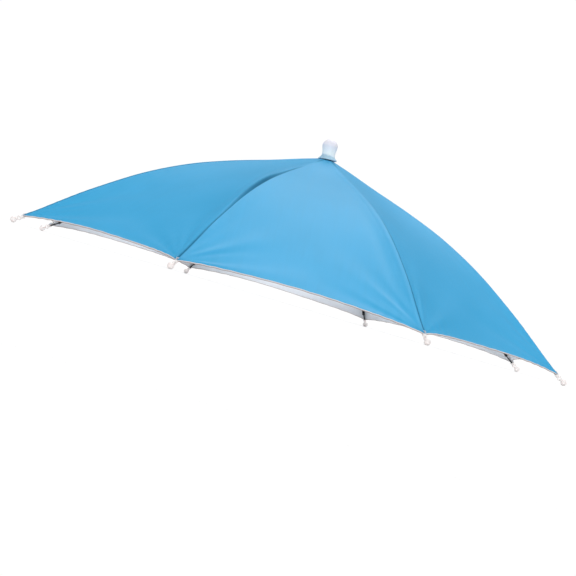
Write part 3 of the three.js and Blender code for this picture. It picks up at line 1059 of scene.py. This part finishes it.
def along_axis(points):
    """Points of a lathe about +Z turned to run along +Y."""
    x, y, z = np.asarray(points, float).T
    return np.stack([x, z, -y], -1)


def sideways(points, reach):
    """Points of a lathe about +Z turned to run along X, this far up the tip."""
    x, y, z = np.asarray(points, float).T
    return np.stack([z, x + reach, y], -1)


def make_tips():
    """Eight moulded tips: ball, neck, eyelet and socket run into each other."""
    neck = [(0, 0.002), (NECK_RADIUS + 0.0004, 0.0035), (NECK_RADIUS, 0.0046),
            (NECK_RADIUS, 0.0054), (NECK_RADIUS + 0.0005, 0.0064), (0, 0.0066)]
    turn = np.linspace(0, 2 * math.pi, 25)[:-1]
    middle, half = (EYELET_RADIUS + EYELET_HOLE) / 2, (EYELET_RADIUS - EYELET_HOLE) / 2
    ring = [(middle + half * math.cos(t), EYELET_THICKNESS / 2 * math.sin(t)) for t in turn]
    ring.append(ring[0])
    start = EYELET_REACH + EYELET_HOLE + 0.0006
    bore = WIRE_RADIUS + SEAT_GAP
    collar = SOCKET_RADIUS + 0.0003
    socket = [(0, start), (SOCKET_RADIUS - 0.0003, start),
              (SOCKET_RADIUS + 0.0001, start + 0.0012), (SOCKET_RADIUS, SOCKET_REACH - 0.0009),
              (collar, SOCKET_REACH - 0.0006), (collar, SOCKET_REACH), (bore, SOCKET_REACH),
              (bore, SOCKET_REACH - SOCKET_DEPTH), (0, SOCKET_REACH - SOCKET_DEPTH)]
    parts = []
    for profile in (neck, socket):
        points, faces = lathe(profile, 32)
        parts.append((along_axis(points), faces))
    points, faces = lathe(ring, 40)
    parts.append((sideways(points, EYELET_REACH), faces))
    parts.append(plain_parts(ball_of("ball", 40, 24, BALL_RADIUS)))
    meshes = []
    for points, faces in parts:
        mesh = mesh_of("part", points, faces)
        tidy(mesh)
        meshes.append(plain_parts(mesh))
    scale = 1000.0  # the voxels are worked out in millimetres
    whole = join_meshes("rib_tip", [(points * scale, faces) for points, faces in meshes])
    holder = object_of("rib_tip", whole)
    remesh = holder.modifiers.new("moulded", "REMESH")
    remesh.mode, remesh.voxel_size = "VOXEL", 0.27
    soften = holder.modifiers.new("soften", "SMOOTH")
    soften.factor, soften.iterations = 0.5, 4
    settle(holder)
    points, faces = plain_parts(holder.data)
    points = from_tip(points / scale)
    points[:, 2] = np.maximum(points[:, 2], 0.0)
    bpy.data.objects.remove(holder)
    seed = mesh_of("rib_tips", points, faces)
    shade_smooth(seed)
    return at_every_rib("rib_tips", seed, tip_plastic)


def make_tip_threads():
    """Three turns of thread that tie the cloth's corner to the eyelet of each tip."""
    inset = under_seam(np.array(1 - 0.0045 / SEAM_LENGTH), 0.0) + drawn_out(0.0045)
    eye = from_tip([(0, EYELET_REACH + EYELET_HOLE * 0.6, 0)])[0]
    span = inset - eye
    up = unit(np.array([span[2], 0.0, -span[0]]))
    lines = []
    for side in (-0.0007, 0.0, 0.0007):
        loop = []
        for t in np.linspace(0, 2 * math.pi, 30)[:-1]:
            place = eye + span * (0.5 - 0.5 * math.cos(t))
            lift = 0.0011 * math.sin(t) * (1.0 if math.sin(t) > 0 else 1.1)
            wide = side * (1.2 - 0.8 * math.cos(t))
            loop.append(place + up * lift + np.array([0.0, wide, 0.0]))
        lines.append(loop)
    one = thread_along("tip_thread", lines, TIP_THREAD_RADIUS, 6, pale_thread, closed=True)
    mesh = one.data
    bpy.data.objects.remove(one)
    tidy(mesh, 60)
    return at_every_rib("tip_threads", mesh, pale_thread)


# Hub and cap

def fine(profile):
    """A profile with its corners rounded by cutting them three times over."""
    points = np.asarray(profile, float)
    for _ in range(3):
        a, b = points[:-1], points[1:]
        cut = np.stack([a * 0.75 + b * 0.25, a * 0.25 + b * 0.75], 1).reshape(-1, 2)
        points = np.concatenate([points[:1], cut, points[-1:]])
    return points


def cap_profile():
    outline = [(wide * FLANGE_RADIUS, high * CAP_HEIGHT) for wide, high in CAP_SECTIONS]
    shoulder_radius, shoulder_height = outline[-1]
    dome = []
    for turn in np.linspace(0, math.pi / 2, 17)[1:]:
        height = shoulder_height + (CAP_HEIGHT - shoulder_height) * math.sin(turn)
        dome.append((max(0.0, shoulder_radius * math.cos(turn)), height))
    flange = [outline[0], (outline[0][0], outline[0][1] + 0.0006)]
    body = fine([outline[1], *outline[1:], *dome])
    _, along = seam(share_at(FLANGE_RADIUS))
    mouth = (CAP_BORE - FLANGE_RADIUS) * along[1] / along[0]
    inside = [(0.0, CAP_BORE_DEPTH), (CAP_BORE - 0.0006, CAP_BORE_DEPTH),
              (CAP_BORE, CAP_BORE_DEPTH - 0.0006), (CAP_BORE, mouth)]
    return np.array([*inside, *flange, *body.tolist()])


def make_cap():
    """The milky domed cap, fluted low on its body, leaning on the canopy's top."""

    def flutes(height, angle):
        share = height / CAP_HEIGHT
        band = smooth((share - 0.17) / 0.06) * (1 - smooth((share - 0.36) / 0.2))
        groove = np.clip(np.cos(CAP_FLUTES * angle + 0.5), 0, 1) ** 2
        return 1 - 0.05 * band * groove

    mesh = mesh_of("cap", *lathe(cap_profile(), 10 * CAP_FLUTES, flutes))
    seat = seam_height(FLANGE_RADIUS) + SEAT_GAP + FLANGE_RADIUS * math.sin(CAP_LEAN)
    mesh.transform(Matrix.Translation((0, 0, seat)) @ Matrix.Rotation(CAP_LEAN, 4, "X"))
    tidy(mesh, 50)
    return object_of("crown_cap", mesh, cap_plastic)


def under_canopy(radius):
    """The height that stays clear of the solid cloth, this far from the axis."""
    _, along = seam(share_at(radius))
    return seam_height(radius / math.cos(HALF_GORE)) - (SOLID_CLOTH_WALL + SEAT_GAP) / along[0]


def make_hub():
    """The slotted boss that holds the rib heads, with its post up into the cap."""
    bottom = under_seam(np.array(share_at(HUB_RADIUS)), RIB_SEAT + RIB_DEPTH)[2] - HUB_FLOOR
    top = APEX_HEIGHT + POST_RISE
    profile = [(0, bottom), (HUB_RADIUS - 0.0009, bottom), (HUB_RADIUS - 0.0003, bottom + 0.0003),
               (HUB_RADIUS, bottom + 0.0009), (HUB_RADIUS, under_canopy(HUB_RADIUS)),
               (POST_RADIUS, under_canopy(POST_RADIUS)), (POST_RADIUS, top - 0.0008),
               (POST_RADIUS - 0.0008, top), (0, top)]
    boss = mesh_of("hub", *lathe(profile, 96))
    tidy(boss)
    holder = object_of("slotted_hub", boss)
    share = np.array([share_at(RIB_HEAD_RADIUS - 2 * SEAT_GAP), share_at(HUB_RADIUS + RIB_DEPTH)])
    half = RIB_WIDTH / 2 + SEAT_GAP
    depths = (RIB_SEAT - RIB_DEPTH, RIB_SEAT + RIB_DEPTH + SEAT_GAP)
    rims = [under_seam(share, depth) for depth in depths]
    box = np.array([p + np.array([0, y, 0]) for y in (-half, half) for rim in rims for p in rim])
    quads = [(0, 2, 3, 1), (4, 5, 7, 6), (0, 1, 5, 4), (2, 6, 7, 3), (0, 4, 6, 2), (1, 3, 7, 5)]
    slots = join_meshes("slots", [(around(box, angle), quads) for angle in RIB_ANGLES])
    tidy(slots)
    cutter = object_of("slots", slots)
    cut = holder.modifiers.new("slots", "BOOLEAN")
    cut.operation, cut.solver, cut.object = "DIFFERENCE", "EXACT", cutter
    settle(holder)
    bpy.data.objects.remove(cutter)
    tidy(holder.data, 30)
    holder.data.materials.clear()
    holder.data.materials.append(hub_plastic)
    return holder


# Headband and stretchers

BAND_BOTTOM = BALL_HEIGHT + BAND_RISE
BAND_OUTER = np.array([HEAD_WIDTH / 2 + BAND_WALL, HEAD_LENGTH / 2 + BAND_WALL])


def band_line(count):
    """Points evenly along the band's inside, their outward directions and the whole length."""
    turn = np.linspace(0, 2 * math.pi, 4001)
    middle = np.stack([HEAD_WIDTH / 2 * np.sin(turn), HEAD_LENGTH / 2 * np.cos(turn)], -1)
    length = lengths_along(middle)
    at = np.interp(np.arange(count) / count * length[-1], length, turn)
    points = np.stack([HEAD_WIDTH / 2 * np.sin(at), HEAD_LENGTH / 2 * np.cos(at)], -1)
    outwards = unit(np.stack([np.sin(at) / HEAD_WIDTH, np.cos(at) / HEAD_LENGTH], -1))
    return points, outwards, length[-1]


def make_headband():
    """An oval loop of woven elastic with lengthwise cords, lapped and sewn at the back."""
    count, cords = 420, 11
    points, outwards, length = band_line(count)
    along = np.arange(count) / count * length
    half = BAND_HEIGHT / 2
    heights = np.linspace(-1, 1, 62)
    cord = 0.5 + 0.5 * np.cos(heights * math.pi * cords)
    edge = np.sqrt(np.clip(1 - np.abs(heights) ** 10, 0, 1))
    face = np.stack([heights * half, (BAND_WALL / 2) * edge * (0.84 + 0.16 * cord)], -1)
    inside = np.stack([face[::-1, 0], -face[::-1, 1]], -1)[1:-1]
    section = np.concatenate([face, inside])
    back = np.minimum(along, length - along)
    lap = 0.0003 * (1 - smooth((back - 0.012) / 0.0008))
    turns = 2 * math.pi * along
    gather = 0.00021 * np.sin(turns / 0.023) + 0.00012 * np.sin(turns / 0.0093 + 1)
    lift = 0.0006 * np.sin(turns / length * 3 + 0.6)
    thicker = 1 + lap[:, None] / BAND_WALL * 2
    depth = BAND_WALL / 2 + section[None, :, 1] * thicker + gather[:, None]
    flat = points[:, None] + outwards[:, None] * depth[..., None]
    height = BAND_BOTTOM + half + section[None, :, 0] * 0.985 + lift[:, None]
    loop = np.concatenate([flat, height[..., None]], -1)
    faces = grid_faces(count + 1, len(section)) % (count * len(section))
    mesh = mesh_of("headband", loop, faces)
    with reworked(mesh) as work:
        bmesh.ops.recalc_face_normals(work, faces=work.faces)
    shade_smooth(mesh)
    order = np.zeros(len(mesh.loops), int)
    mesh.loops.foreach_get("vertex_index", order)
    row, column = order // len(section), order % len(section)
    cut_map(mesh, np.stack([row * length / count, section[column, 0]], -1))
    return object_of("elastic_band", mesh, elastic), length


def make_band_stitches():
    """The box of stitches where the elastic laps at the back."""
    count = 2000
    points, outwards, length = band_line(count)
    height = BAND_BOTTOM + BAND_HEIGHT / 2
    lines, facings = [], []
    reach, tall = 0.0095, BAND_HEIGHT / 2 - 0.003
    runs = [((-reach, -tall), (-reach, tall)), ((reach, -tall), (reach, tall)),
            ((-reach, tall), (reach, tall)), ((-reach, -tall), (reach, -tall)),
            ((-reach, -tall), (reach, tall)), ((-reach, tall), (reach, -tall))]
    for (x0, z0), (x1, z1) in runs:
        place = np.linspace(x0, x1, 24) % length
        at = (place / length * count).astype(int) % count
        out = outwards[at]
        flat = points[at] + out * (BAND_WALL + 0.00055)
        rise = np.linspace(z0, z1, 24)[:, None] + height + 0.0003
        lines.append(np.concatenate([flat, rise], -1))
        facings.append(np.concatenate([out, 0 * rise], -1))
    return sewn("band_stitches", lines, facings, 0.0022, 0.0019, black_thread)


def band_meets(angle):
    """Where a ray from the axis meets the band's outside, and the way the band faces there."""
    ray = np.array([math.cos(angle), math.sin(angle)])
    reach = 1 / np.linalg.norm(ray / BAND_OUTER)
    facing = ray / BAND_OUTER**2
    return reach, math.atan2(facing[1], facing[0])


def outwards_at(angle):
    return np.array([math.cos(angle), math.sin(angle), 0.0])


def round_at(angle):
    return np.array([-math.sin(angle), math.cos(angle), 0.0])


def strut_ends(angle):
    """A stretcher's lower and upper end in its rib's plane, and its foot's turn there."""
    reach, facing = band_meets(angle)
    turn = facing - angle
    eye_depth = RIB_SEAT + RIB_WALL + SEAT_GAP + STRETCHER_DEPTH / 2
    top = under_seam(np.array(share_at(STRETCHER_REACH)), eye_depth)
    middle = SEAT_GAP + FOOT_WALL / 2
    foot = np.array([reach, 0.0, BAND_BOTTOM + BAND_HEIGHT / 2])
    foot = foot + outwards_at(turn) * middle
    return np.array([foot[0], 0.0, foot[2]]), top, foot, turn


def lens_head(radius, height):
    """A low domed rivet head with its base at z = 0."""
    turn = np.linspace(0, math.pi / 2, 5)
    dome = [(radius * math.cos(t), height * math.sin(t)) for t in turn]
    mesh = mesh_of("head", *lathe([(0, -0.0002), (radius, -0.0002), *dome], 12))
    tidy(mesh, 50)
    return object_of("head", mesh)


def make_stretchers():
    """Eight struts with an eye in the rib's channel and a plate that is sewn to the band."""
    lines, plates, turns = [], [], []
    for angle in RIB_ANGLES:
        low, top, foot, turn = strut_ends(angle)
        lines.append(around(np.linspace(low, top, 12), angle))
        plates.append(around(foot, angle))
        turns.append(angle + turn)
    half = STRETCHER_DEPTH / 2
    section = rounded_box_section(STRETCHER_WIDTH, -half, half, 0.0005)
    struts = section_along("struts", lines, section, steel)
    edge = STRETCHER_WIDTH / 2
    eye = mesh_of("eye", *lathe([(0, -edge), (half, -edge), (half, edge), (0, edge)], 24))
    tidy(eye)
    outwards, sides = (np.array([way(a) for a in RIB_ANGLES]) for way in (outwards_at, round_at))
    seed = turned_points("eyes", [line[-1] for line in lines], outwards, sides)
    eyes = grown("eyes", seed, COPIES, Piece=object_of("eye", eye), Material=steel)
    plate = bpy.data.meshes.new("plate")
    with reworked(plate) as work:
        bmesh.ops.create_cube(work, size=1)
        bmesh.ops.scale(work, vec=(FOOT_WALL, FOOT_WIDTH, FOOT_HEIGHT), verts=work.verts)
        through = [e for e in work.edges if abs(e.verts[0].co.x - e.verts[1].co.x) > 1e-6]
        bmesh.ops.bevel(
            work, geom=through, offset=FOOT_CORNER, segments=6, affect="EDGES", profile=0.5
        )
        rims = [e for e in work.edges if e.calc_face_angle(0) > 1.2]
        bmesh.ops.bevel(
            work, geom=rims, offset=0.0003, segments=2, affect="EDGES", profile=0.5
        )
    tidy(plate, 40)
    outwards = [outwards_at(turn) for turn in turns]
    seed = turned_points("feet", plates, outwards, np.array([(0, 0, 1.0)] * GORES))
    feet = grown("feet", seed, COPIES, Piece=object_of("plate", plate), Material=steel)
    whole = joined("stretchers", struts, eyes, feet)
    tidy(whole)
    return object_of("stretchers", whole, steel)


def make_rivets():
    """Rivet heads: two on each foot plate, and one on each side of a rib at its stretcher's eye."""
    places, ways, ups = [], [], []
    for angle in RIB_ANGLES:
        _, top, foot, turn = strut_ends(angle)
        out = outwards_at(angle + turn)
        for rise in (-RIVET_RISE, RIVET_RISE):
            places.append(around(foot, angle) + out * FOOT_WALL / 2 + np.array([0, 0, rise]))
            ways.append((0, 0, 1.0))
            ups.append(out)
        side = round_at(angle)
        for hand in (-1, 1):
            places.append(around(top, angle) + side * hand * RIB_WIDTH / 2)
            ways.append(outwards_at(angle))
            ups.append(side * hand)
    seed = turned_points("rivets", places, ways, np.array(ups))
    head = lens_head(RIVET_RADIUS, RIVET_HEIGHT)
    return grown("rivets", seed, COPIES, Piece=head, Material=steel)


# Stage: floor, light and camera

def make_floor():
    """A plain pale floor, far wider than the view."""
    material, tree, shader = finish("pale floor", Specular_IOR_Level=0.0)
    cloud = noise(tree, object_place(tree), 0.8, 2.0)
    tone = mix(tree, cloud, (0.90, 0.90, 0.90), (0.94, 0.94, 0.94))
    feed(tree, shader, Base_Color=tone, Roughness=between(tree, cloud, 0.85, 0.95))
    wide = 30.0
    corners = [(-wide, -wide, 0), (wide, -wide, 0), (wide, wide, 0), (-wide, wide, 0)]
    floor = object_of("floor", mesh_of("floor", corners, [(0, 1, 2, 3)]), material)


def soft_light(name, towards, strength, spread):
    """A broad even light from one side."""
    data = bpy.data.lights.new(name, "SUN")
    data.energy, data.angle = strength, math.radians(spread)
    light = bpy.data.objects.new(name, data)
    scene.collection.objects.link(light)
    light.rotation_mode = "QUATERNION"
    light.rotation_quaternion = Vector(towards).to_track_quat("Z", "Y")


def make_light():
    """Plain soft studio light: a white surround that is brightest low down, and two soft suns."""
    world = bpy.data.worlds.new("studio")
    scene.world = world
    world.use_nodes = True
    tree = world.node_tree
    ground = tree.nodes["Background"]
    towards = add(tree, "ShaderNodeTexCoord").outputs["Generated"]
    height = add(tree, "ShaderNodeSeparateXYZ", {0: towards}).outputs["Z"]
    feed(tree, ground, Strength=between(tree, ramp(tree, height, 0.245, 0.36), 1.02, 0.22))
    ground.inputs["Color"].default_value = (1.0, 1.0, 1.0, 1.0)
    soft_light("top light", (-0.42, 0.05, 0.9), 1.8, 46)
    soft_light("front light", (0.9, -0.05, 0.7), 1.5, 56)
    data = bpy.data.lights.new("light from the table", "AREA")
    data.shape, data.size, data.energy = "DISK", 0.7, 1.2
    light = bpy.data.objects.new("light from the table", data)
    scene.collection.objects.link(light)
    light.location = (0, 0, 0.001)
    light.rotation_euler = (math.pi, 0, 0)
    light.visible_camera = False


def make_camera():
    """Level with the rim, from the hat's left side, rolled with the hat."""
    distance, height, roll = 2.2555, 0.0008, math.radians(16.55)
    target = Vector((0.0, 0.0, BALL_HEIGHT))
    place = Vector((0.99902, -0.04414, 0.0)) * distance
    place.z = height
    back = (place - target).normalized()
    right = Vector((0.04414, 0.99902, 0.0))
    up = back.cross(right)
    x_axis = math.cos(roll) * right + math.sin(roll) * up
    y_axis = -math.sin(roll) * right + math.cos(roll) * up
    turn = Matrix((x_axis, y_axis, back)).transposed().to_4x4()
    data = bpy.data.cameras.new("camera")
    data.lens, data.sensor_width = 93.34, 36.0
    data.shift_x, data.shift_y = 0.0041, 0.0215
    data.clip_start, data.clip_end = 0.01, 200.0
    camera = bpy.data.objects.new("camera", data)
    camera.matrix_world = Matrix.Translation(place) @ turn
    scene.collection.objects.link(camera)
    scene.camera = camera


make_camera()
make_light()
make_floor()
scene.view_settings.view_transform = "Standard"

canopy = make_canopy()
hem_tape = make_hem_tape()
hem_thread = make_hem_thread()
outer_stitches = make_hem_stitches("hem_stitches_outside", OUTER, 1, blue_thread)
inner_stitches = make_hem_stitches("hem_stitches_inside", INNER, -1, pale_thread)
seam_stitches = make_seam_stitches()
ribs = make_ribs()
rib_tips = make_tips()
tip_threads = make_tip_threads()
cap = make_cap()
hub = make_hub()
headband, band_length = make_headband()
band_stitches = make_band_stitches()
stretchers = make_stretchers()
rivets = make_rivets()

canopy_trim = [hem_tape, hem_thread, outer_stitches, inner_stitches, seam_stitches, tip_threads]
for made, slot_name in (
    (canopy, "canopy_cloth"), *((trim, "canopy_cloth") for trim in canopy_trim),
    (ribs, "frame_steel"), (stretchers, "frame_steel"), (rivets, "frame_steel"),
    (rib_tips, "white_plastic"), (cap, "white_plastic"), (hub, "white_plastic"),
    (headband, "headband_elastic"), (band_stitches, "headband_elastic"),
):
    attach(made, "root")

numbers = range(1, GORES + 1)
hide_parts(*(f"gore_{n}" for n in numbers))
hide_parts(*(f"rib_{n}" for n in numbers))
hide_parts(*(f"rib_tip_{n}" for n in numbers))
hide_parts(*(f"stretcher_{n}" for n in numbers))
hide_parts("cap")
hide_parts("hub")
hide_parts("headband")
